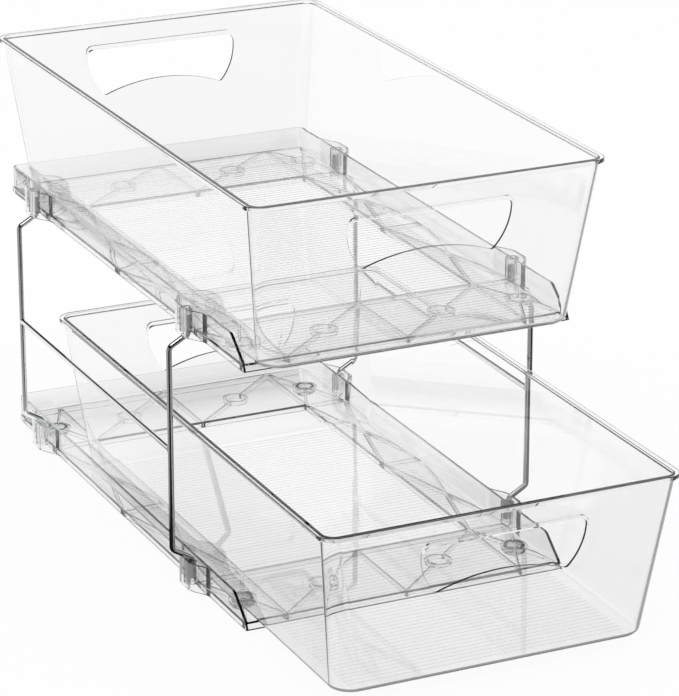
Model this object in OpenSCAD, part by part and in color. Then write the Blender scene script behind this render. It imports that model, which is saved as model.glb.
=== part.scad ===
// Two-tier organizer: two clear trays held one above the other by chromed
// wire frames, each carrying a clear basket that slides out to the front.
// X is to the right, -Y is the front and +Z is up. The origin lies on the
// surface that the feet stand on, midway between the organizer's sides and
// midway between its rearmost and foremost ends, with the baskets as drawn.

/* [Tray bases] */
// Width of a base across its side walls
base_w = 236; // [220:1:260]
// Depth of a base at floor level
base_d = 422; // [380:1:460]
// Height of a base's walls
base_h = 20; // [18:0.5:26]
// Thickness of a base's walls
base_wall = 2; // [1.6:0.1:2.6]
// Height of the floor's top face above the base's underside
floor_top = 5; // [4:0.5:7]
// Thickness of the floor
floor_t = 2; // [1.5:0.1:3]
// Width of the floor strips across the front and the rear
end_strip = 76; // [64:1:90]
// Width of the floor strips along the sides
side_strip = 33; // [28:1:40]
// Radius of the rear corners in plan
base_corner_r = 6; // [4:0.5:10]
// Length of the slope at the front end of a side wall
nose_run = 19; // [14:1:30]
// Radius at the top of that slope
nose_r = 6; // [3:0.5:10]
// Run of the sloped apron along the front edge
apron_run = 3; // [1:0.5:5]
// Thickness of the ribs under the floor
rib_t = 1.6; // [1.2:0.1:2.4]
// Outside diameter of the ring bosses among the ribs
ring_d = 18.6; // [16:0.1:22]
// Wall of a ring boss
ring_wall = 1.8; // [1.4:0.1:2.2]

/* [Wire sockets] */
// How far a socket bulges out of the side wall
socket_bulge = 8.5; // [7:0.1:10]
// Half the length of a bulge along the wall
socket_half_l = 26; // [20:1:32]
// Half the length of the bulge's straight crown
socket_crown = 6; // [4:0.5:8]
// Diameter of the boss that grips the wire
boss_d = 8.6; // [7.6:0.1:9.2]
// How much the boss is recessed from both edges of the wall
boss_recess = 2; // [1:0.5:3]
// Wire centre's distance outside the wall's outer face
plug_out = 2.8; // [2.5:0.1:3.2]
// Length of wire inside a socket, from the wall's edge
plug_l = 14; // [10:0.5:16]
// Radial clearance between wire and socket
plug_clearance = 0.05; // [0.02:0.01:0.1]

/* [Wire frames] */
// Diameter of the wire
wire_d = 4; // [3:0.1:4.6]
// Gap between a basket's rim and the posts beside it
post_clearance = 5.1; // [2:0.1:10]
// Distance from the base's rear end to the rear posts
rear_post_inset = 59; // [50:1:70]
// Distance from the base's front edge to the front posts
front_post_inset = 82; // [70:1:95]
// Centreline radius of the bends
bend_r = 4; // [3.6:0.1:5]
// Angle of a jog from the vertical
jog_angle = 60; // [50:1:64]
// Clear height between the lower base's walls and the upper base
tier_gap = 160.5; // [135:0.5:220]
// Gap left by the weld at each end of a rail
weld_gap = 0.02; // [0.01:0.01:0.1]

/* [Feet] */
// Height of a foot that shows below the base
foot_reveal = 2.5; // [1.5:0.1:4]
// Radial clearance between a foot and its ring boss
foot_clearance = 0.1; // [0.05:0.05:0.3]
// Chamfer round a foot's lower edge
foot_chamfer = 0.6; // [0.3:0.1:1.2]

/* [Baskets] */
// How far a basket's rim reaches past the base on each side
rim_overhang = 9.5; // [0:0.1:12]
// Depth of a basket across its rim
basket_d = 458; // [410:1:470]
// Height of a basket
basket_h = 115; // [90:1:125]
// Thickness of a basket's walls and floor
basket_wall = 2; // [1.6:0.1:2.6]
// Width of a basket's rim outside the wall
rim_w = 2.5; // [1.5:0.1:3]
// Height of the rim
rim_h = 3; // [2:0.1:5]
// Corner radius of the rim
rim_corner_r = 12; // [9:0.5:18]
// Corner radius at the basket's foot
foot_corner_r = 15; // [11:0.5:20]
// Radius between the basket's floor and walls
bottom_r = 7; // [4:0.5:9]
// Clearance between a basket's foot and the base wall on each side
side_clearance = 5.1; // [2.5:0.1:8]
// Overhang of the rim past the basket's foot, front and rear
end_flare = 15.4; // [8:0.1:20]
// Distance between two ribs of the basket's floor
floor_rib_pitch = 4.9; // [4:0.1:8]
// Width of a rib of the basket's floor
floor_rib_w = 1.4; // [0.8:0.1:2]
// Height of a rib of the basket's floor
floor_rib_h = 0.5; // [0.3:0.1:1]
// Gap between a basket pushed fully in and the base's rear wall
rear_gap = 0.5; // [0.4:0.1:2]
// How far the lower basket is pulled out
lower_pull = 119; // [0:1:180]
// How far the upper basket is pulled out
upper_pull = 11.4; // [0:0.1:180]

/* [Hand cut-outs] */
// Greatest width of a hand cut-out
grip_w = 117; // [100:1:130]
// Height of the wall left above a cut-out, rim included
grip_band = 18.6; // [12:0.2:30]
// Height of a cut-out at its middle
grip_mid_h = 25.8; // [20:0.2:34]
// Radius of the upper corners
grip_top_r = 5.3; // [3:0.1:8]
// Radius of the sides, which bow outwards
grip_side_r = 41; // [36:1:56]
// Radius of the lower corners
grip_low_r = 2.5; // [1.5:0.1:5]
// Radius of the arch that closes a cut-out below
grip_arch_r = 131; // [110:1:200]
// Height of the lip along a cut-out's top edge
grip_lip_h = 2.8; // [2:0.1:4]
// How far the lip stands out from the wall
grip_lip_out = 1.8; // [1:0.1:2.4]

/* [Hidden] */

// Overrun of every cut past the face that it opens
over = 1;
$fn = 64;

left = -1;
right = 1;

// Colours
clear_plastic = [0.86, 0.9, 0.92, 0.45];
chrome = [0.66, 0.68, 0.7];
rubber = [0.72, 0.73, 0.74];

// Heights of the two bases
lower_z = foot_reveal;
upper_z = lower_z + base_h + tier_gap;

// Plan of a base
base_x = base_w / 2;
base_y = base_d / 2;
hole_x = base_x - side_strip;
hole_y = base_y - end_strip;
rib_h = floor_top - floor_t;
rib_x = hole_x + rib_t / 2;
rib_y = hole_y + rib_t / 2;
wall_mid_x = base_x - base_wall / 2;
wall_mid_y = base_y - base_wall / 2;
ring_x = (rib_x + wall_mid_x) / 2;
ring_y = (rib_y + wall_mid_y) / 2;
front_y = -base_y - apron_run;

// Posts and sockets
front_post_y = -base_y + front_post_inset;
rear_post_y = base_y - rear_post_inset;
post_x = base_x + rim_overhang + post_clearance + wire_d / 2;
plug_x = base_x + plug_out;
bend_t = bend_r * tan(jog_angle / 2);
jog_x = post_x - plug_x;
jog_z = jog_x / tan(jog_angle);
mouth_z = lower_z + base_h - boss_recess;
jog_low_z = mouth_z + bend_t;
jog_high_z = jog_low_z + jog_z;
plug_end_z = lower_z + base_h - plug_l;
frame_mid_z = lower_z + base_h + tier_gap / 2;

// Feet
foot_d = ring_d - 2 * ring_wall - 2 * foot_clearance;
foot_h = foot_reveal + rib_h;

// Plan of a basket: its foot follows the base, its rim is wider
rim_x = base_x + rim_overhang;
rim_y = basket_d / 2;
basket_foot_x = base_x - base_wall - side_clearance;
basket_foot_y = rim_y - end_flare;
basket_top_x = rim_x - rim_w;
basket_top_y = rim_y - rim_w;
wall_corner_r = rim_corner_r - rim_w;

// Hand cut-outs, in heights above a basket's underside
grip_x = grip_w / 2;
grip_top_z = basket_h - grip_band;
grip_widest_z = grip_top_z - grip_top_r;

// Where a basket's back meets the top of the base's rear wall
lip_share = (base_h - floor_top) / basket_h;
basket_back_y = basket_foot_y + (basket_top_y - basket_foot_y) * lip_share;
basket_in_y = base_y - base_wall - rear_gap - basket_back_y;

// Middle of the organizer's whole depth, counted from the middle of its bases
front_reach = min(front_y, basket_in_y - max(lower_pull, upper_pull) - rim_y);
rear_reach = max(base_y, basket_in_y - min(lower_pull, upper_pull) + rim_y);
middle_y = (front_reach + rear_reach) / 2;

// Outline helpers

function unit(v) = v / norm(v);

// Half the angle between two directions
function half_angle(u, w) = acos(u * w) / 2;

// Direction of a vector, in degrees
function bearing(v) = atan2(v[1], v[0]);

// Points of an arc from one angle to another
function arc(centre, r, from, to, steps = 8) =
    [for (i = [0:steps]) let (a = from + (to - from) * i / steps) centre + r * [cos(a), sin(a)]];

// Arcs end to end as one list of points, with each shared point kept once
function joined(arcs) =
    [for (i = [0:len(arcs) - 1], j = [min(i, 1):len(arcs[i]) - 1]) arcs[i][j]];

// Where two circles cross, on the right hand going from the first centre to the second
function crossing(c1, r1, c2, r2) =
    let (
        apart = norm(c2 - c1),
        u = (c2 - c1) / apart,
        along = (r1 * r1 - r2 * r2 + apart * apart) / (2 * apart),
        aside = sqrt(r1 * r1 - along * along)
    )
    c1 + u * along + [u[1], -u[0]] * aside;

// Points of the arc that rounds corner p between its two neighbours
function corner_arc(before, p, after, r, steps) =
    let (
        u = unit(before - p),
        w = unit(after - p),
        half = half_angle(u, w),
        c = p + unit(u + w) * r / sin(half),
        from_c = p + u * r / tan(half) - c,
        to_c = p + w * r / tan(half) - c,
        a0 = atan2(from_c[1], from_c[0]),
        turn = atan2(to_c[1], to_c[0]) - a0,
        sweep = turn > 180 ? turn - 360 : turn < -180 ? turn + 360 : turn
    )
    [for (i = [0:steps]) c + r * [cos(a0 + sweep * i / steps), sin(a0 + sweep * i / steps)]];

// Outline with every corner rounded by its own radius; zero keeps it sharp
function rounded(points, radii, steps = 8) =
    let (n = len(points))
    [
        for (i = [0:n - 1])
            let (before = points[(i + n - 1) % n], after = points[(i + 1) % n])
            each radii[i] == 0
                ? [points[i]]
                : corner_arc(before, points[i], after, radii[i], steps)
    ];

// Moves what is drawn about the bases' middle to the organizer's own origin
module placed() {
    translate([0, -middle_y, 0])
        children();
}

// Puts its children, drawn for the right side, on either side
module on_side(side) {
    if (side == left)
        mirror([1, 0, 0])
            children();
    else
        children();
}

module rounded_rect(x, y, r) {
    corners = [[-x, -y], [x, -y], [x, y], [-x, y]];
    polygon(rounded(corners, [r, r, r, r]));
}

// Tray bases

// Plan of a base, set in from the outer faces of its walls and open at the front
module base_plan(inset, front = front_y) {
    x = base_x - inset;
    y = base_y - inset;
    r = base_corner_r - inset;
    polygon(rounded([[-x, front], [x, front], [x, y], [-x, y]], [0, 0, r, r]));
}

// Side view of a base, from its sloped front to its rear wall
module base_side_view() {
    points = [
        [front_y, 0], [-base_y, floor_top], [-base_y + nose_run, base_h],
        [base_y, base_h], [base_y, 0]
    ];
    rotate([90, 0, 90])
        linear_extrude(base_w, center = true)
            polygon(rounded(points, [0, 0, nose_r, 0, 0]));
}

// Plan of a socket's bulge as a smooth curve along the wall
function bulge_out(y, height) =
    let (t = max(0, abs(y) - socket_crown) / (socket_half_l - socket_crown))
    height * (1 + cos(180 * t)) / 2;

module bulge_plan(height) {
    steps = 24;
    ys = [for (i = [-steps:steps]) socket_half_l * i / steps];
    polygon([
        [-base_wall / 2, -socket_half_l],
        for (y = ys) [bulge_out(y, height), y],
        [-base_wall / 2, socket_half_l]
    ]);
}

// The curved shell outside the wall
module socket_shell() {
    translate([base_x, 0, 0])
        linear_extrude(base_h)
            difference() {
                bulge_plan(socket_bulge);
                translate([-base_wall, 0])
                    bulge_plan(socket_bulge);
            }
}

// The boss inside the shell, with its bore for the wire
module socket_boss() {
    translate([plug_x, 0, boss_recess])
        cylinder(h = base_h - 2 * boss_recess, d = boss_d);
}

module socket_bore() {
    translate([plug_x, 0, -over])
        cylinder(h = base_h + 2 * over, d = wire_d + 2 * plug_clearance);
}

// Places its children at all four sockets of a base
module at_sockets() {
    for (side = [left, right], y = [front_post_y, rear_post_y])
        on_side(side)
            translate([0, y, 0])
                children();
}

// Plan of a straight rib between two points
module rib(from, to) {
    along = unit(to - from);
    off = [-along[1], along[0]] * rib_t / 2;
    polygon([from - off, to - off, to + off, from + off]);
}

// Ribs that frame the floor's opening and run on to the walls
module frame_ribs() {
    for (s = [-1, 1]) {
        rib([s * rib_x, -base_y], [s * rib_x, wall_mid_y]);
        rib([-wall_mid_x, s * rib_y], [wall_mid_x, s * rib_y]);
        rib([0, s * rib_y], [0, s * wall_mid_y]);
        rib([s * rib_x, 0], [s * wall_mid_x, 0]);
    }
}

// Ribs that cross in each cell along the sides
module side_braces() {
    for (side = [left, right], half = [-1, 1]) {
        rib([side * rib_x, 0], [side * wall_mid_x, half * rib_y]);
        rib([side * wall_mid_x, 0], [side * rib_x, half * rib_y]);
    }
}

// Ribs that cross in each corner cell, under the corner rings
module corner_braces() {
    for (side = [left, right], half = [-1, 1]) {
        rib([side * rib_x, half * rib_y], [side * wall_mid_x, half * wall_mid_y]);
        rib([side * wall_mid_x, half * rib_y], [side * rib_x, half * wall_mid_y]);
    }
}

// One diagonal rib in each wide cell of the front and rear strips
module strip_braces() {
    for (x = [-rib_x, 0]) {
        rib([x, -wall_mid_y], [x + rib_x, -rib_y]);
        rib([x, rib_y], [x + rib_x, wall_mid_y]);
    }
}

// Places its children at every ring boss
module at_rings() {
    for (x = [-ring_x, -rib_x / 2, rib_x / 2, ring_x], y = [-ring_y, ring_y])
        translate([x, y])
            children();
}

// All that stands under the floor, from the underside up into the floor
module floor_grid() {
    linear_extrude(rib_h + floor_t / 2)
        difference() {
            union() {
                frame_ribs();
                side_braces();
                corner_braces();
                strip_braces();
                at_rings()
                    circle(d = ring_d);
            }
            at_rings()
                circle(d = ring_d - 2 * ring_wall);
        }
}

// The apron that closes the floor's front edge
module apron() {
    rotate([90, 0, 90])
        linear_extrude(base_w - base_wall, center = true)
            polygon([
                [front_y, 0], [-base_y, floor_top],
                [-base_y + base_wall, floor_top], [front_y + base_wall, 0]
            ]);
}

module base() {
    difference() {
        union() {
            intersection() {
                base_side_view();
                union() {
                    linear_extrude(base_h)
                        difference() {
                            base_plan(0);
                            base_plan(base_wall, front_y - over);
                        }
                    translate([0, 0, rib_h])
                        linear_extrude(floor_t)
                            base_plan(base_wall / 2);
                }
            }
            apron();
            floor_grid();
            at_sockets() {
                socket_shell();
                socket_boss();
            }
        }
        translate([-hole_x, -hole_y, -over])
            cube([2 * hole_x, 2 * hole_y, base_h]);
        at_sockets()
            socket_bore();
    }
}

module placed_base(z) {
    color(clear_plastic)
        placed()
            translate([0, 0, z])
                base();
}

module lower_base() { placed_base(lower_z); }
module upper_base() { placed_base(upper_z); }

// Wire frames

// Centreline of a post's lower half in the plane of X and Z
post_half = concat(
    [[plug_x, plug_end_z]],
    arc([plug_x + bend_r, mouth_z], bend_r, 180, 180 - jog_angle),
    arc([post_x - bend_r, jog_high_z + bend_t], bend_r, -jog_angle, 0)
);

// The whole centreline: the upper half mirrors the lower one
post_path = concat(
    post_half,
    [for (i = [len(post_half) - 1:-1:0]) [post_half[i][0], 2 * frame_mid_z - post_half[i][1]]]
);

// Direction of the path at each of its points, halfway round every turn
function heading(path, i) =
    unit(
        (i < len(path) - 1 ? unit(path[i + 1] - path[i]) : [0, 0])
        + (i > 0 ? unit(path[i] - path[i - 1]) : [0, 0])
    );

// A round wire along a path in the plane of X and Z
module wire(path) {
    sides = 24;
    last = len(path) - 1;
    points = [
        for (i = [0:last])
            let (d = heading(path, i))
            for (k = [0:sides - 1])
                let (
                    out = cos(360 * k / sides) * wire_d / 2,
                    across = sin(360 * k / sides) * wire_d / 2
                )
                [path[i][0] + d[1] * out, across, path[i][1] - d[0] * out]
    ];
    faces = [
        [for (k = [0:sides - 1]) k],
        for (i = [0:last - 1], k = [0:sides - 1])
            let (a = i * sides, b = a + sides, n = (k + 1) % sides)
            [a + k, b + k, b + n, a + n],
        [for (k = [sides - 1:-1:0]) last * sides + k]
    ];
    polyhedron(points, faces);
}

module post(side, y) {
    color(chrome)
        placed()
            translate([0, y, 0])
                on_side(side)
                    wire(post_path);
}

module left_front_post() { post(left, front_post_y); }
module left_rear_post() { post(left, rear_post_y); }
module right_front_post() { post(right, front_post_y); }
module right_rear_post() { post(right, rear_post_y); }

// A rail between a side's two posts, its ends shaped to the posts
module rail(side) {
    color(chrome)
        placed()
            difference() {
                translate([side * post_x, front_post_y, frame_mid_z])
                    rotate([-90, 0, 0])
                        cylinder(h = rear_post_y - front_post_y, d = wire_d);
                for (y = [front_post_y, rear_post_y])
                    translate([side * post_x, y, frame_mid_z])
                        cylinder(h = 2 * wire_d, d = wire_d + 2 * weld_gap, center = true);
            }
}

module left_rail() { rail(left); }
module right_rail() { rail(right); }

// Feet

module foot(side, half) {
    r = foot_d / 2;
    color(rubber)
        placed()
            translate([side * ring_x, half * ring_y, 0])
                rotate_extrude()
                    polygon([
                        [0, 0], [r - foot_chamfer, 0], [r, foot_chamfer], [r, foot_h], [0, foot_h]
                    ]);
}

module left_front_foot() { foot(left, -1); }
module left_rear_foot() { foot(left, 1); }
module right_front_foot() { foot(right, -1); }
module right_rear_foot() { foot(right, 1); }

// Baskets

// Tapered body with a rounded foot, set in from the outer faces
module basket_body(inset, low_z, high_z) {
    slab = basket_wall / 10;
    r = bottom_r - inset;
    function foot_share(z) = z / basket_h;
    function part_x(z) = basket_foot_x + (basket_top_x - basket_foot_x) * foot_share(z) - inset;
    function part_y(z) = basket_foot_y + (basket_top_y - basket_foot_y) * foot_share(z) - inset;
    function part_r(z) = foot_corner_r + (wall_corner_r - foot_corner_r) * foot_share(z) - inset;
    hull() {
        for (a = [0:22.5:90]) {
            z = low_z + r * (1 - cos(a));
            step = r * (1 - sin(a));
            translate([0, 0, z])
                linear_extrude(slab)
                    rounded_rect(part_x(z) - step, part_y(z) - step, part_r(z) - step / 2);
        }
        translate([0, 0, high_z - slab])
            linear_extrude(slab)
                rounded_rect(part_x(high_z), part_y(high_z), part_r(high_z));
    }
}

module basket_rim() {
    translate([0, 0, basket_h - rim_h])
        linear_extrude(rim_h)
            rounded_rect(rim_x, rim_y, rim_corner_r);
}

// Right half of a hand cut-out's outline, seen from the front, from its top edge
// round the side to the arch: four arcs, each tangent to the next
function grip_half() =
    let (
        top = [grip_x - grip_top_r, grip_widest_z],
        side = [grip_x - grip_side_r, grip_widest_z],
        arch = [0, grip_top_z - grip_mid_h - grip_arch_r],
        low = crossing(arch, grip_arch_r + grip_low_r, side, grip_side_r - grip_low_r)
    )
    joined([
        arc(top, grip_top_r, 90, 0),
        arc(side, grip_side_r, 0, bearing(low - side), 12),
        arc(low, grip_low_r, bearing(low - side), bearing(arch - low)),
        arc(arch, grip_arch_r, bearing(low - arch), 90, 10)
    ]);

module grip_outline() {
    half = grip_half();
    last = len(half) - 1;
    polygon(concat(
        half,
        [for (i = [last - 1:-1:0]) [-half[i][0], half[i][1]]]
    ));
}

// The cut-out's upper part, raised by the height of the lip
module grip_lip_outline() {
    high = grip_top_z + grip_lip_h;
    points = [[-grip_x, grip_widest_z], [grip_x, grip_widest_z], [grip_x, high], [-grip_x, high]];
    polygon(rounded(points, [0, 0, grip_top_r, grip_top_r]));
}

// Draws its outline right through the basket, from front to rear
module through_ends() {
    rotate([90, 0, 0])
        linear_extrude(2 * (rim_y + over), center = true)
            children();
}

// Fine ribs across the inside of the basket's floor
module floor_ribs() {
    clear_y = basket_foot_y - bottom_r - floor_rib_pitch;
    count = floor(clear_y / floor_rib_pitch);
    x = basket_foot_x - bottom_r;
    for (i = [-count:count])
        translate([-x, i * floor_rib_pitch - floor_rib_w / 2, basket_wall / 2])
            cube([2 * x, floor_rib_w, basket_wall / 2 + floor_rib_h]);
}

module basket() {
    difference() {
        union() {
            basket_body(0, 0, basket_h);
            basket_rim();
            intersection() {
                basket_body(-grip_lip_out, 0, basket_h);
                through_ends()
                    grip_lip_outline();
            }
        }
        basket_body(basket_wall, basket_wall, basket_h + over);
        through_ends()
            grip_outline();
    }
    floor_ribs();
}

module placed_basket(z, pull) {
    color(clear_plastic)
        placed()
            translate([0, basket_in_y - pull, z + floor_top])
                basket();
}

module lower_basket() { placed_basket(lower_z, lower_pull); }
module upper_basket() { placed_basket(upper_z, upper_pull); }

lower_base();
upper_base();
left_front_post();
left_rear_post();
right_front_post();
right_rear_post();
left_rail();
right_rail();
left_front_foot();
left_rear_foot();
right_front_foot();
right_rear_foot();
lower_basket();
upper_basket();
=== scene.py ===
"""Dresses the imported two-tier organizer: clear baskets that slide on clear
trays, chromed wire frames between the trays, and soft plugs to stand on."""

import math

import bmesh
import bpy
from mathutils import Matrix, Vector


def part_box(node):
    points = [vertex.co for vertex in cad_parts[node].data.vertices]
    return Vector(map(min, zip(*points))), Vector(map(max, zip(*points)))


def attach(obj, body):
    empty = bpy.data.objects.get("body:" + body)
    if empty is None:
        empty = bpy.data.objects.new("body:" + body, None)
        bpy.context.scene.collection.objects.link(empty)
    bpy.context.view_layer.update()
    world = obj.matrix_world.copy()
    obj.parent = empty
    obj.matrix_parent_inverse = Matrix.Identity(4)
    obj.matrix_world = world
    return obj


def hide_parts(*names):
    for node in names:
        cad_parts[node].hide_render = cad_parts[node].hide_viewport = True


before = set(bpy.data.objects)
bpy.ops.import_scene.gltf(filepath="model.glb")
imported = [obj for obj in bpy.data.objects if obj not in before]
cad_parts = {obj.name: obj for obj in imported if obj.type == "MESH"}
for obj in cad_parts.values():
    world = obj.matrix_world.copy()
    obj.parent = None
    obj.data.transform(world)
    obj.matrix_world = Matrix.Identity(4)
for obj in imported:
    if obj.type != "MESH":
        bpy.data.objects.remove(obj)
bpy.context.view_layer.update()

MM = 0.001
LEFT, RIGHT = -1, 1
FRONT, REAR = -1, 1

# Baskets, in millimetres
BASKET_WALL = 2.0
RIM_W, RIM_H, RIM_CORNER_R = 2.5, 3.0, 12.0
FOOT_CORNER_R, BOTTOM_R = 15.0, 4.0
RIB_MARGIN = 12.0  # bare floor round the ribs
BASKET_FOOT_X, END_FLARE = 110.9, 15.4
RIM_EDGE_R, UNDER_RIM_R = 0.5, 0.4
LIFT = 0.15  # keeps a basket's underside clear of the tray's floor
RIB_PITCH, RIB_W, RIB_H = 4.9, 1.6, 0.18

# Hand cut-outs
GRIP_W, GRIP_BAND, GRIP_MID_H = 117.0, 18.6, 25.8
GRIP_TOP_R, GRIP_SIDE_R, GRIP_LOW_R, GRIP_ARCH_R = 5.3, 41.0, 2.5, 131.0
LIP_H, LIP_OUT, LIP_ROOT = 2.8, 1.8, 1.0
GRIP_EDGE_R = 0.4

# Trays
TRAY_EDGE_R = 0.3
SAME_POINT = 0.02  # how far apart the CAD mesh's loose points may be and still be one
SAME_PLANE = 0.5  # degrees between triangles of one flat face
WEB_CORNERS = 100  # a face with more corners than this is a web of ribs, and stays triangles
SHARP_ANGLE, SHORT_EDGE = 40.0, 1.1  # which edges are eased: sharper, and not beside a shorter edge

# Wire frames
WIRE_R, BEND_R, JOG_ANGLE, BOSS_RECESS = 2.0, 4.0, 60.0, 2.0


# Materials

class Finish:
    """A node material with short helpers for its procedural parts."""

    def __init__(self, name, **settings):
        self.material = bpy.data.materials.new(name)
        self.material.use_nodes = True
        self.tree = self.material.node_tree
        self.shader = self.tree.nodes["Principled BSDF"]
        self.output = self.tree.nodes["Material Output"]
        for socket, value in settings.items():
            self.shader.inputs[socket.replace("_", " ")].default_value = value
        self.coords = self.node("ShaderNodeTexCoord").outputs["Object"]

    def node(self, kind, **inputs):
        return add(self.tree, kind, **inputs)

    def link(self, source, socket):
        self.tree.links.new(source, self.shader.inputs[socket])

    def noise(self, scale, detail=2.0, stretch=(1, 1, 1)):
        placed = self.node("ShaderNodeMapping", Vector=self.coords, Scale=stretch)
        made = self.node("ShaderNodeTexNoise", Vector=placed.outputs[0], Scale=scale, Detail=detail)
        return made.outputs["Fac"]

    def between(self, factor, low, high):
        made = self.node("ShaderNodeMapRange", Value=factor, To_Min=low, To_Max=high)
        return made.outputs[0]

    def tint(self, factor, low, high):
        ramp = self.node("ShaderNodeValToRGB", Fac=factor)
        ramp.color_ramp.elements[0].color = (*low, 1)
        ramp.color_ramp.elements[1].color = (*high, 1)
        self.link(ramp.outputs[0], "Base Color")

    def bump(self, height, strength, distance):
        made = self.node("ShaderNodeBump", Height=height, Strength=strength, Distance=distance)
        self.link(made.outputs[0], "Normal")


def add(tree, kind, settings=None, **inputs):
    """Adds a node; an input is given as a value or as the socket that feeds it."""
    made = tree.nodes.new(kind)
    for label, value in (settings or {}).items():
        setattr(made, label, value)
    for label, value in inputs.items():
        target = made.inputs[label.replace("_", " ")]
        if isinstance(value, bpy.types.NodeSocket):
            tree.links.new(value, target)
        else:
            target.default_value = value
    return made


def maths(tree, operation, *values, clamp=False):
    """A Math node's result; each value is a number or the socket that feeds it."""
    made = tree.nodes.new("ShaderNodeMath")
    made.operation, made.use_clamp = operation, clamp
    for socket, value in zip(made.inputs, values):
        if isinstance(value, bpy.types.NodeSocket):
            tree.links.new(value, socket)
        else:
            socket.default_value = value
    return made.outputs[0]


def clear_plastic(name, absorb):
    """Clear moulded plastic with faint flow waves, darker where light runs along inside it."""
    finish = Finish(name, Transmission_Weight=1.0, IOR=1.5)
    finish.tint(finish.noise(9.0, 3.0), (0.994, 0.995, 0.996), (1.0, 1.0, 1.0))
    finish.link(finish.between(finish.noise(40.0, 3.0), 0.0, 0.003), "Roughness")
    finish.bump(finish.noise(14.0, 1.0, (1, 0.4, 1)), 0.02, 0.001)
    volume = finish.node("ShaderNodeVolumeAbsorption", Color=(0.5, 0.51, 0.515, 1), Density=absorb)
    finish.tree.links.new(volume.outputs[0], finish.output.inputs["Volume"])
    return finish.material


def chrome_plate():
    finish = Finish("chrome_plate", Metallic=1.0)
    finish.tint(finish.noise(60.0, 3.0), (0.82, 0.825, 0.83), (0.9, 0.905, 0.91))
    finish.link(finish.between(finish.noise(400.0, 4.0), 0.03, 0.09), "Roughness")
    finish.bump(finish.noise(900.0, 2.0), 0.03, 0.0005)
    return finish.material


def soft_rubber():
    finish = Finish("soft_clear_rubber", Transmission_Weight=0.9, IOR=1.35)
    finish.tint(finish.noise(150.0, 4.0), (0.8, 0.805, 0.81), (0.9, 0.905, 0.91))
    finish.link(finish.between(finish.noise(700.0, 3.0), 0.02, 0.06), "Roughness")
    finish.bump(finish.noise(1500.0, 3.0), 0.05, 0.0002)
    return finish.material


# Outlines and mesh tools

def arc(centre, radius, start, end, steps):
    """Points of an arc from one angle to another, in degrees."""
    angles = (math.radians(start + (end - start) * i / steps) for i in range(steps + 1))
    return [(centre[0] + radius * math.cos(a), centre[1] + radius * math.sin(a)) for a in angles]


def rounded_rect(x, y, radius, steps=16):
    corners = [(1, -1, -90), (1, 1, 0), (-1, 1, 90), (-1, -1, 180)]
    return [
        p for sx, sy, start in corners
        for p in arc((sx * (x - radius), sy * (y - radius)), radius, start, start + 90, steps)
    ]


def bearing(start, end):
    return math.degrees(math.atan2(end[1] - start[1], end[0] - start[0]))


def crossing(c1, r1, c2, r2):
    """Where two circles cross, on the right hand going from the first centre to the second."""
    c1, c2 = Vector(c1), Vector(c2)
    apart = (c2 - c1).length
    u = (c2 - c1) / apart
    along = (r1 * r1 - r2 * r2 + apart * apart) / (2 * apart)
    aside = math.sqrt(r1 * r1 - along * along)
    return c1 + u * along + Vector((u.y, -u.x)) * aside


def new_object(name, bm, material=None):
    """A finished mesh object at the origin, built in millimetres."""
    bmesh.ops.recalc_face_normals(bm, faces=bm.faces)
    mesh = bpy.data.meshes.new(name)
    bm.to_mesh(mesh)
    bm.free()
    mesh.transform(Matrix.Scale(MM, 4))
    made = bpy.data.objects.new(name, mesh)
    bpy.context.scene.collection.objects.link(made)
    if material:
        mesh.materials.append(material)
    return made


def loft(name, rings, material=None):
    """Skins rings of equal length and caps both ends."""
    bm = bmesh.new()
    rows = [[bm.verts.new(p) for p in ring] for ring in rings]
    for low, high in zip(rows, rows[1:]):
        count = len(low)
        for i in range(count):
            bm.faces.new((low[i], low[(i + 1) % count], high[(i + 1) % count], high[i]))
    bm.faces.new(list(reversed(rows[0])))
    bm.faces.new(rows[-1])
    return new_object(name, bm, material)


def settle(made, smooth_angle=35.0):
    """Turns an object's modifiers into plain mesh and shades its curves smooth."""
    weighted = made.modifiers.new("flat_faces", "WEIGHTED_NORMAL")
    weighted.keep_sharp = True
    made.data.set_sharp_from_angle(angle=math.radians(smooth_angle))
    return apply_modifiers(made)


def apply_modifiers(made):
    bpy.context.view_layer.update()
    evaluated = made.evaluated_get(bpy.context.evaluated_depsgraph_get())
    mesh = bpy.data.meshes.new_from_object(evaluated)
    mesh.name = made.name
    made.modifiers.clear()
    made.data = mesh
    return made


def combine(made, other, operation):
    step = made.modifiers.new(operation.lower(), "BOOLEAN")
    step.operation, step.solver, step.object = operation, "EXACT", other
    apply_modifiers(made)
    bpy.data.objects.remove(other)
    return made


def ease_edges(made, radius, sharper_than, segments=3):
    edge = made.modifiers.new("eased_edges", "BEVEL")
    edge.width, edge.segments, edge.limit_method = radius * MM, segments, "ANGLE"
    edge.angle_limit = math.radians(sharper_than)
    return apply_modifiers(made)


def mark_long_edges(bm, sharper_than, shortest):
    """Weights the sharp edges for a bevel, leaving out those that end at a tiny edge."""
    weight = bm.edges.layers.float.new("bevel_weight_edge")
    for edge in bm.edges:
        near = {other for vert in edge.verts for other in vert.link_edges}
        roomy = min(other.calc_length() for other in near) > shortest * MM
        if roomy and edge.calc_face_angle(0) > math.radians(sharper_than):
            edge[weight] = 1.0


# Node trees

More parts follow.
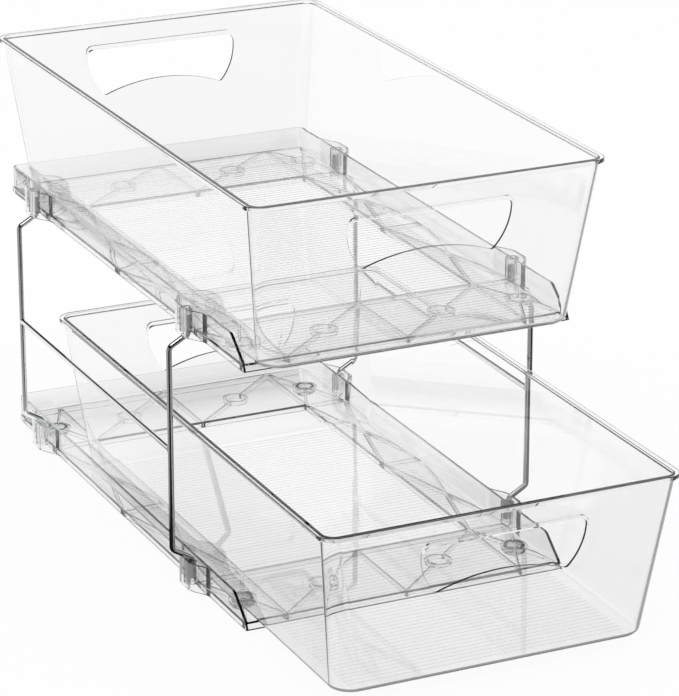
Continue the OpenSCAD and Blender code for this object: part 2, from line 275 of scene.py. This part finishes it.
def new_tree(name, **inputs):
    """A geometry node tree with named inputs; returns it with its inlet and outlet."""
    tree = bpy.data.node_groups.new(name, "GeometryNodeTree")
    tree.interface.new_socket("Geometry", in_out="INPUT", socket_type="NodeSocketGeometry")
    for label, value in inputs.items():
        kind = {int: "NodeSocketInt", float: "NodeSocketFloat"}.get(type(value), "NodeSocketMaterial")
        tree.interface.new_socket(label.replace("_", " "), in_out="INPUT", socket_type=kind)
    tree.interface.new_socket("Geometry", in_out="OUTPUT", socket_type="NodeSocketGeometry")
    return tree, tree.nodes.new("NodeGroupInput"), tree.nodes.new("NodeGroupOutput")


def finish_tree(tree, geometry, material, outlet):
    real = add(tree, "GeometryNodeRealizeInstances", Geometry=geometry)
    painted = add(tree, "GeometryNodeSetMaterial", Geometry=real.outputs[0], Material=material)
    tree.links.new(painted.outputs[0], outlet.inputs[0])


def rib_row_tree():
    """Low ribs with a lens-shaped back, laid side by side along Y, each running across X."""
    tree, inlet, outlet = new_tree(
        "floor_rib_row", Length=0.2, Width=0.001, Height=0.001, Pitch=0.005, Count=9, Material=None)
    value = inlet.outputs
    start = add(tree, "ShaderNodeCombineXYZ", X=maths(tree, "MULTIPLY", value["Length"], -0.5))
    end = add(tree, "ShaderNodeCombineXYZ", X=maths(tree, "MULTIPLY", value["Length"], 0.5))
    spine = add(tree, "GeometryNodeCurvePrimitiveLine", Start=start.outputs[0], End=end.outputs[0])
    sunk = maths(tree, "MULTIPLY", value["Height"], -1.0)
    near = add(tree, "ShaderNodeCombineXYZ", X=maths(tree, "MULTIPLY", value["Width"], -0.5), Y=sunk)
    top = add(tree, "ShaderNodeCombineXYZ", Y=value["Height"])
    far = add(tree, "ShaderNodeCombineXYZ", X=maths(tree, "MULTIPLY", value["Width"], 0.5), Y=sunk)
    back = add(tree, "GeometryNodeCurveArc", {"mode": "POINTS"}, Resolution=9,
               Start=near.outputs[0], Middle=top.outputs[0], End=far.outputs[0])
    profile = add(tree, "GeometryNodeSetSplineCyclic", Geometry=back.outputs[0], Cyclic=True)
    rib = add(tree, "GeometryNodeCurveToMesh", Curve=spine.outputs[0],
              Profile_Curve=profile.outputs[0], Fill_Caps=True)
    gap = add(tree, "ShaderNodeCombineXYZ", Y=value["Pitch"])
    row = add(tree, "GeometryNodeMeshLine", Count=value["Count"], Offset=gap.outputs[0])
    placed = add(tree, "GeometryNodeInstanceOnPoints", Points=row.outputs[0], Instance=rib.outputs[0])
    finish_tree(tree, placed.outputs[0], value["Material"], outlet)
    return tree


def wire_tree():
    """A round wire of constant radius along the host's edges."""
    tree, inlet, outlet = new_tree("round_wire", Radius=0.002, Sides=32, Material=None)
    value = inlet.outputs
    path = add(tree, "GeometryNodeMeshToCurve", Mesh=value["Geometry"])
    profile = add(tree, "GeometryNodeCurvePrimitiveCircle",
                  Resolution=value["Sides"], Radius=value["Radius"])
    wire = add(tree, "GeometryNodeCurveToMesh", Curve=path.outputs[0],
               Profile_Curve=profile.outputs[0], Fill_Caps=True)
    finish_tree(tree, wire.outputs[0], value["Material"], outlet)
    return tree


def grow(name, tree, host_points, **inputs):
    """Runs a node tree on a line of points and keeps the plain mesh that it makes."""
    bm = bmesh.new()
    verts = [bm.verts.new(p) for p in host_points]
    for a, b in zip(verts, verts[1:]):
        bm.edges.new((a, b))
    made = new_object(name, bm)
    step = made.modifiers.new("grow", "NODES")
    step.node_group = tree
    sockets = {s.name: s.identifier for s in tree.interface.items_tree if s.in_out == "INPUT"}
    for label, value in inputs.items():
        step[sockets[label]] = value
    return apply_modifiers(made)


# Baskets

class BasketShape:
    """A basket's sizes at every height, taken from the box of its CAD node."""

    def __init__(self, node):
        low, high = (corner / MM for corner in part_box(node))
        self.rim_x, self.rim_y, self.height = (high.x - low.x) / 2, (high.y - low.y) / 2, high.z - low.z
        self.centre = Vector(((low.x + high.x) / 2, (low.y + high.y) / 2, low.z))
        self.foot_y = self.rim_y - END_FLARE
        self.top_z = self.height - GRIP_BAND

    def wall(self, z, inset=0.0, corner_inset=None):
        """Half width, half depth and corner radius of the wall's outer face, set in by inset."""
        share = z / self.height
        top_x, top_y, top_r = self.rim_x - RIM_W, self.rim_y - RIM_W, RIM_CORNER_R - RIM_W
        corner_inset = inset if corner_inset is None else corner_inset
        return (BASKET_FOOT_X + (top_x - BASKET_FOOT_X) * share - inset,
                self.foot_y + (top_y - self.foot_y) * share - inset,
                FOOT_CORNER_R + (top_r - FOOT_CORNER_R) * share - corner_inset)

    def floor_curve(self, thickness, steps=10):
        """Rings of the round edge between floor and wall, from the wall down."""
        r = BOTTOM_R - thickness
        for i in range(steps + 1):
            a = math.radians(90 * i / steps)
            z, step = thickness + r * (1 - math.sin(a)), r * (1 - math.cos(a))
            yield (*self.wall(z, thickness + step, thickness + step / 2), max(z, LIFT))

    def rim_curve(self):
        """Rings of the rim's flange: from under it, round its outer edges, to the inside of the top."""
        low, high = self.height - RIM_H, self.height
        for h, out in arc((low - UNDER_RIM_R, UNDER_RIM_R), UNDER_RIM_R, -90, 0, 4):
            yield (*self.wall(h, -out), h)
        for out, z in arc((-RIM_EDGE_R, low + RIM_EDGE_R), RIM_EDGE_R, -90, 0, 4):
            yield (self.rim_x + out, self.rim_y + out, RIM_CORNER_R + out, z)
        for out, z in arc((-RIM_EDGE_R, high - RIM_EDGE_R), RIM_EDGE_R, 0, 90, 4):
            yield (self.rim_x + out, self.rim_y + out, RIM_CORNER_R + out, z)
        for inset, z in arc((BASKET_WALL - RIM_EDGE_R, high - RIM_EDGE_R), RIM_EDGE_R, 90, 0, 4):
            yield (*self.wall(high, inset), z)

    def rings(self):
        yield from reversed(list(self.floor_curve(0.0)))
        yield from self.rim_curve()
        yield from self.floor_curve(BASKET_WALL)


def grip_outline(top_z):
    """A hand cut-out's outline: each half is four arcs, each tangent to the next."""
    half_w = GRIP_W / 2
    top = (half_w - GRIP_TOP_R, top_z - GRIP_TOP_R)
    side = (half_w - GRIP_SIDE_R, top_z - GRIP_TOP_R)
    arch = (0.0, top_z - GRIP_MID_H - GRIP_ARCH_R)
    low = crossing(arch, GRIP_ARCH_R + GRIP_LOW_R, side, GRIP_SIDE_R - GRIP_LOW_R)
    half = arc(top, GRIP_TOP_R, 90, 0, 10)
    half += arc(side, GRIP_SIDE_R, 0, bearing(side, low), 20)[1:]
    half += arc(low, GRIP_LOW_R, bearing(side, low), bearing(low, arch), 8)[1:]
    half += arc(arch, GRIP_ARCH_R, bearing(arch, low), 90, 20)[1:]
    return half + [(-x, z) for x, z in reversed(half[:-1])]


def lip_outline(top_z):
    """The cut-out's upper part, raised by the height of the lip."""
    half_w, low, high = GRIP_W / 2, top_z - GRIP_TOP_R, top_z + LIP_H
    right = arc((half_w - GRIP_TOP_R, high - GRIP_TOP_R), GRIP_TOP_R, 0, 90, 10)
    return [(half_w, low)] + right + [(-x, z) for x, z in reversed(right)] + [(-half_w, low)]


def grip_lip(shape, end):
    """The lip along the top of one cut-out, rooted in the wall."""
    outline = lip_outline(shape.top_z)

    def ring(out):
        return [
            (x, shape.centre.y + end * (shape.wall(z)[1] + out), shape.centre.z + z)
            for x, z in outline
        ]

    return loft("grip_lip", [ring(-LIP_ROOT), ring(LIP_OUT)])


def grip_cutter(shape):
    """Both cut-outs as one long block through the basket."""
    reach = shape.rim_y + RIM_W
    rings = [
        [(x, shape.centre.y + y, shape.centre.z + z) for x, z in grip_outline(shape.top_z)]
        for y in (-reach, reach)
    ]
    return loft("grip_cutter", rings)


def floor_ribs(shape, ribs, material):
    count = int((shape.foot_y - RIB_MARGIN) / RIB_PITCH)
    length = 2 * (BASKET_FOOT_X - RIB_MARGIN)
    row = grow("floor_ribs", ribs, [(0, 0, 0)], Length=length * MM, Width=RIB_W * MM, Height=RIB_H * MM,
               Pitch=RIB_PITCH * MM, Count=2 * count + 1, Material=material)
    first = Vector((0, shape.centre.y - count * RIB_PITCH, shape.centre.z + BASKET_WALL))
    row.data.transform(Matrix.Translation(first * MM))
    return row


def basket(node, body, material, ribs):
    shape = BasketShape(node)
    rings = [
        [(px, shape.centre.y + py, shape.centre.z + z) for px, py in rounded_rect(x, y, radius)]
        for x, y, radius, z in shape.rings()
    ]
    shell = loft(f"clear_{node}", rings, material)
    for end in (FRONT, REAR):
        combine(shell, grip_lip(shape, end), "UNION")
    combine(shell, grip_cutter(shape), "DIFFERENCE")
    ease_edges(shell, GRIP_EDGE_R, sharper_than=50)
    combine(shell, floor_ribs(shape, ribs, material), "UNION")
    settle(shell)
    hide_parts(node)
    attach(shell, body)
    return shell


# Trays

def tray(node, material):
    """The tray's own CAD mesh, cleaned up and with its edges eased as moulded edges are."""
    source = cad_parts[node]
    bm = bmesh.new()
    bm.from_mesh(source.data)
    bmesh.ops.remove_doubles(bm, verts=bm.verts, dist=SAME_POINT * MM)
    bmesh.ops.dissolve_limit(bm, angle_limit=math.radians(SAME_PLANE), verts=bm.verts, edges=bm.edges)
    webs = [f for f in bm.faces if len(f.verts) > WEB_CORNERS]
    bmesh.ops.triangulate(bm, faces=webs, quad_method="BEAUTY", ngon_method="BEAUTY")
    mark_long_edges(bm, SHARP_ANGLE, SHORT_EDGE)
    mesh = bpy.data.meshes.new(f"clear_{node}")
    bm.to_mesh(mesh)
    bm.free()
    made = bpy.data.objects.new(f"clear_{node}", mesh)
    bpy.context.scene.collection.objects.link(made)
    mesh.materials.append(material)
    edge = made.modifiers.new("eased_edges", "BEVEL")
    edge.width, edge.segments = TRAY_EDGE_R * MM, 2
    edge.limit_method, edge.use_clamp_overlap = "WEIGHT", False
    apply_modifiers(made)
    settle(made, smooth_angle=25.0)
    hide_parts(node)
    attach(made, "frame")
    return made


# Wire frames

def post(node, material, wires):
    """One wire that steps out of its lower socket, stands up and steps into its upper one."""
    low, high = (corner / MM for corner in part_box(node))
    side = RIGHT if low.x > 0 else LEFT
    inner, outer = sorted((abs(low.x), abs(high.x)))
    plug_x, post_x = inner + WIRE_R, outer - WIRE_R
    y = (low.y + high.y) / 2
    mid_z = (low.z + high.z) / 2
    mouth_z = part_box("lower_base")[1].z / MM - BOSS_RECESS
    bend_l = BEND_R * math.tan(math.radians(JOG_ANGLE / 2))
    jog_top = mouth_z + bend_l + (post_x - plug_x) / math.tan(math.radians(JOG_ANGLE))
    half = [(plug_x, low.z)]
    half += arc((plug_x + BEND_R, mouth_z), BEND_R, 180, 180 - JOG_ANGLE, 10)
    half += arc((post_x - BEND_R, jog_top + bend_l), BEND_R, -JOG_ANGLE, 0, 10)
    path = half + [(x, 2 * mid_z - z) for x, z in reversed(half)]
    made = grow(f"chromed_{node}", wires, [(side * x, y, z) for x, z in path],
                Radius=WIRE_R * MM, Sides=40, Material=material)
    settle(made, smooth_angle=50.0)
    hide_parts(node)
    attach(made, "frame")


def rail(node, material):
    """A straight wire whose ends swell into the welds on the posts, ground flush outside."""
    low, high = (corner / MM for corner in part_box(node))
    x, z = (low.x + high.x) / 2, (low.z + high.z) / 2
    outside = max(abs(low.x), abs(high.x))
    # distance from the end, and how far the surface stands out there
    weld = [(0.2, -0.2), (1.2, 0.35), (2.4, 0.15), (3.6, 0.0)]
    ends = [(low.y + along, WIRE_R + swell) for along, swell in weld]
    ends += [(high.y - along, WIRE_R + swell) for along, swell in reversed(weld)]

    def ring(y, radius):
        points = arc((x, z), radius, 0, 360, 40)[:-1]
        return [(max(-outside, min(outside, px)), y, pz) for px, pz in points]

    made = loft(f"chromed_{node}", [ring(y, radius) for y, radius in ends], material)
    settle(made, smooth_angle=50.0)
    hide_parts(node)
    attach(made, "frame")


def foot(node, material):
    """A turned plug: hollow underneath, round outside and dished on top."""
    low, high = (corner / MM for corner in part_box(node))
    x, y, r = (low.x + high.x) / 2, (low.y + high.y) / 2, (high.x - low.x) / 2
    top, hollow, dish = high.z, 1.2, high.z - 1.0
    section = [
        (r * 0.3, hollow), (r * 0.5, hollow), (r * 0.55, 0.3), (r * 0.6, 0.0),
        (r - 0.9, 0.0), (r - 0.3, 0.2), (r, 0.8), (r, top - 0.5), (r - 0.4, top),
        (r * 0.72, top), (r * 0.66, dish), (r * 0.3, dish),
    ]
    rings = [[(px, py, z) for px, py in arc((x, y), d, 0, 360, 48)[:-1]] for d, z in section]
    made = loft(f"soft_{node}", rings, material)
    settle(made, smooth_angle=40.0)
    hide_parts(node)
    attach(made, "frame")


# Stage

# How bright the room is round the object: azimuth from straight behind, clockwise seen from
# above, and brightness. The wires see a dark front, which gives them their dark core, and
# light that was turned round inside the plastic sees grey sides and a grey front. The world
# lights with these levels, and the studio floor has them painted into its glow as painted shade.
WIRE_ROOM = [
    (-180, 0.01), (-146, 0.01), (-132, 0.34), (-50, 0.36), (-25, 1.0),
    (40, 1.0), (62, 0.34), (127, 0.34), (141, 0.01), (180, 0.01),
]
PLASTIC_ROOM = [(-180, 0.3), (-55, 0.3), (-33, 1.0), (53, 1.0), (75, 0.3), (180, 0.3)]
# Brightness above the horizon by the sine of the elevation: white that ends in a dark ceiling
CEILING = [(0.39, 1.0), (0.5, 0.02)]
WIRE_CEILING = 0.11  # how much lower the dark ceiling starts for the wires
BENT_CEILING = 0.29  # and for light that was only bent on its way through the plastic
WHITE_SHARE = 0.95  # of the floor as the camera sees it; the rest takes the shadow


def ramp(tree, value, stops, low, high):
    """Brightness along a value by linear steps between stops."""
    scaled = add(tree, "ShaderNodeMapRange", Value=value, From_Min=low, From_Max=high)
    made = add(tree, "ShaderNodeValToRGB", Fac=scaled.outputs[0])
    elements = made.color_ramp.elements
    while len(elements) < len(stops):
        elements.new(0.5)
    for element, (place, level) in zip(elements, stops):
        element.position, element.color = (place - low) / (high - low), (level, level, level, 1)
    return made.outputs["Color"]


def azimuth_ramp(tree, x, y, room):
    stops = [(math.radians(a), level) for a, level in room]
    return ramp(tree, maths(tree, "ARCTAN2", x, y), stops, -math.pi, math.pi)


def room_light(tree, place, post_x=0.0, post_y=0.0):
    """The room's brightness at a place or in a direction, for light off the wires and for the
    rest. Places near the object are told from the wire posts beside them. At a place on the
    floor it is painted shade, a dark front and grey sides, and in both the grey parts grow
    darker for each time the light was turned inside the plastic."""
    split = add(tree, "ShaderNodeSeparateXYZ", Vector=place).outputs
    x, y = split["X"], split["Y"]
    beside = maths(tree, "SUBTRACT", x, maths(tree, "MULTIPLY", maths(tree, "SIGN", x), post_x))
    wire = azimuth_ramp(tree, beside, maths(tree, "SUBTRACT", y, post_y), WIRE_ROOM)
    inner = maths(tree, "POWER", azimuth_ramp(tree, x, y, PLASTIC_ROOM), turned_inside(tree))
    share = off_wire(tree)
    plain = maths(tree, "MULTIPLY", inner, maths(tree, "SUBTRACT", 1.0, share))
    return maths(tree, "ADD", plain, maths(tree, "MULTIPLY", wire, share))


def ray_is(tree, *kinds):
    """Adds light path outputs together, so the sum is 1 on any of these rays."""
    path = tree.nodes.new("ShaderNodeLightPath")
    total = path.outputs[kinds[0]]
    for kind in kinds[1:]:
        total = maths(tree, "ADD", total, path.outputs[kind], clamp=True)
    return total


def turned_inside(tree):
    """How often the light was mirrored inside the plastic before it came out."""
    path = tree.nodes.new("ShaderNodeLightPath").outputs
    return maths(tree, "MULTIPLY", path["Glossy Depth"], path["Is Transmission Ray"])


def off_wire(tree):
    """1 on light that comes straight off the wires, which are the only blurred mirrors."""
    path = tree.nodes.new("ShaderNodeLightPath").outputs
    mirrored = maths(tree, "SUBTRACT", path["Is Glossy Ray"], path["Is Transmission Ray"], clamp=True)
    return maths(tree, "SUBTRACT", mirrored, path["Is Singular Ray"], clamp=True)


def mix(tree, factor, first, second):
    made = tree.nodes.new("ShaderNodeMixShader")
    if isinstance(factor, bpy.types.NodeSocket):
        tree.links.new(factor, made.inputs[0])
    else:
        made.inputs[0].default_value = factor
    tree.links.new(first, made.inputs[1])
    tree.links.new(second, made.inputs[2])
    return made.outputs[0]


def studio_floor():
    """A white floor that keeps a soft shadow; to the wires and to light turned inside the plastic it
    shows the room as painted shade, a dark front and grey sides painted into its glow.
    """
    bm = bmesh.new()
    bmesh.ops.create_grid(bm, x_segments=1, y_segments=1, size=6000)
    made = new_object("studio_floor", bm)
    material = bpy.data.materials.new("white_floor")
    material.use_nodes = True
    tree = material.node_tree
    paint = tree.nodes["Principled BSDF"]
    paint.inputs["Base Color"].default_value = (0.9, 0.9, 0.9, 1)
    paint.inputs["Roughness"].default_value = 0.9
    paint.inputs["Specular IOR Level"].default_value = 0.0
    white = add(tree, "ShaderNodeEmission", Strength=1.0)
    seen = mix(tree, WHITE_SHARE, paint.outputs[0], white.outputs[0])
    place = tree.nodes.new("ShaderNodeTexCoord").outputs["Object"]
    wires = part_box("left_front_post")[0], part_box("left_rear_post")[0]
    between = (wires[0].y + 2 * wires[1].y) / 3  # nearer the rear posts than the front ones
    # painted shade: the floor's glow here is the room's brightness, dark in front and grey at the sides,
    # painted for light off the wires and light turned inside the plastic
    level = room_light(tree, place, abs(wires[0].x), between)
    room = add(tree, "ShaderNodeEmission", Color=level, Strength=1.0)
    in_room = maths(tree, "ADD", turned_inside(tree), off_wire(tree), clamp=True)
    beyond = mix(tree, in_room, seen, room.outputs[0])
    clear_or_mirrored = ray_is(tree, "Is Glossy Ray", "Is Transmission Ray")
    clear = mix(tree, clear_or_mirrored, paint.outputs[0], beyond)
    surface = mix(tree, ray_is(tree, "Is Camera Ray"), clear, seen)
    tree.links.new(surface, tree.nodes["Material Output"].inputs["Surface"])
    made.data.materials.append(material)
    return made


def studio_world():
    """White to the camera, plain light on the object, and the room in what it mirrors or bends."""
    world = bpy.data.worlds.new("studio")
    bpy.context.scene.world = world
    world.use_nodes = True
    tree = world.node_tree
    plain = tree.nodes["Background"]
    plain.inputs["Color"].default_value = (0.85, 0.85, 0.85, 1)
    direction = tree.nodes.new("ShaderNodeTexCoord").outputs["Generated"]
    height = add(tree, "ShaderNodeSeparateXYZ", Vector=direction).outputs["Z"]
    bent = maths(tree, "SUBTRACT", ray_is(tree, "Is Transmission Ray"), turned_inside(tree), clamp=True)
    height = maths(tree, "ADD", height, maths(tree, "MULTIPLY", off_wire(tree), WIRE_CEILING))
    height = maths(tree, "ADD", height, maths(tree, "MULTIPLY", bent, BENT_CEILING))
    ceiling = ramp(tree, height, [(0.0, 1.0)] + CEILING + [(1.0, CEILING[-1][1])], 0.0, 1.0)
    level = maths(tree, "MULTIPLY", room_light(tree, direction), ceiling)
    room = add(tree, "ShaderNodeBackground", Color=level)
    white = add(tree, "ShaderNodeBackground", Color=(1, 1, 1, 1))
    clear_or_mirrored = ray_is(tree, "Is Glossy Ray", "Is Transmission Ray")
    bounced = mix(tree, clear_or_mirrored, plain.outputs[0], room.outputs[0])
    surface = mix(tree, ray_is(tree, "Is Camera Ray"), bounced, white.outputs[0])
    tree.links.new(surface, tree.nodes["World Output"].inputs["Surface"])


def softbox(name, place, aim, size, power):
    """A square lamp that looks at a point."""
    light = bpy.data.lights.new(name, "AREA")
    light.shape, light.size, light.energy = "SQUARE", size, power
    made = bpy.data.objects.new(name, light)
    made.location = place
    made.rotation_mode = "QUATERNION"
    made.rotation_quaternion = (Vector(aim) - Vector(place)).to_track_quat("-Z", "Y")
    bpy.context.scene.collection.objects.link(made)


def camera():
    """The photograph's view, solved from the object's straight edges: a long lens, 2.5 m away."""
    image_h, focal_px, distance = 696, 3557.15, 2547.2
    azimuth, elevation, roll = (math.radians(a) for a in (25.22, 20.10, -0.02))
    base_low, base_high = (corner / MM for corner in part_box("lower_base"))
    aim = Vector((51.51, base_high.y - 207.8, base_low.z + 99.29)) * MM
    level = Vector((math.sin(azimuth), math.cos(azimuth), 0))
    forward = level * math.cos(elevation) - Vector((0, 0, math.sin(elevation)))
    right = Vector((math.cos(azimuth), -math.sin(azimuth), 0))
    up = right.cross(forward)
    right, up = right * math.cos(roll) + up * math.sin(roll), up * math.cos(roll) - right * math.sin(roll)
    data = bpy.data.cameras.new("photo_camera")
    data.sensor_width = 36.0
    data.lens = focal_px * data.sensor_width / image_h
    data.clip_start, data.clip_end = 0.1, 100
    made = bpy.data.objects.new("photo_camera", data)
    turn = Matrix((right, up, -forward)).transposed().to_4x4()
    made.matrix_world = Matrix.Translation(aim - forward * distance * MM) @ turn
    bpy.context.scene.collection.objects.link(made)
    bpy.context.scene.camera = made


# Assembly

scene = bpy.context.scene
scene.view_settings.view_transform = "Standard"
# Light goes through many thin walls before it leaves the organizer
scene.cycles.max_bounces = 40
scene.cycles.transmission_bounces = 40
scene.cycles.glossy_bounces = 12
scene.cycles.transparent_max_bounces = 40

camera()
studio_floor()
studio_world()
softbox("overhead_softbox", place=(-0.6, -0.6, 1.8), aim=(0, 0, 0.1), size=1.2, power=8)

basket_plastic = clear_plastic("clear_basket_plastic", 5.0)
tray_plastic = clear_plastic("clear_tray_plastic", 60.0)
chrome = chrome_plate()
rubber = soft_rubber()

rib_row = rib_row_tree()
for tier in ("lower", "upper"):
    tray(f"{tier}_base", tray_plastic)
    basket(f"{tier}_basket", f"{tier}_basket", basket_plastic, rib_row)

wires = wire_tree()
for side in ("left", "right"):
    rail(f"{side}_rail", chrome)
    for end in ("front", "rear"):
        post(f"{side}_{end}_post", chrome, wires)
        foot(f"{side}_{end}_foot", rubber)
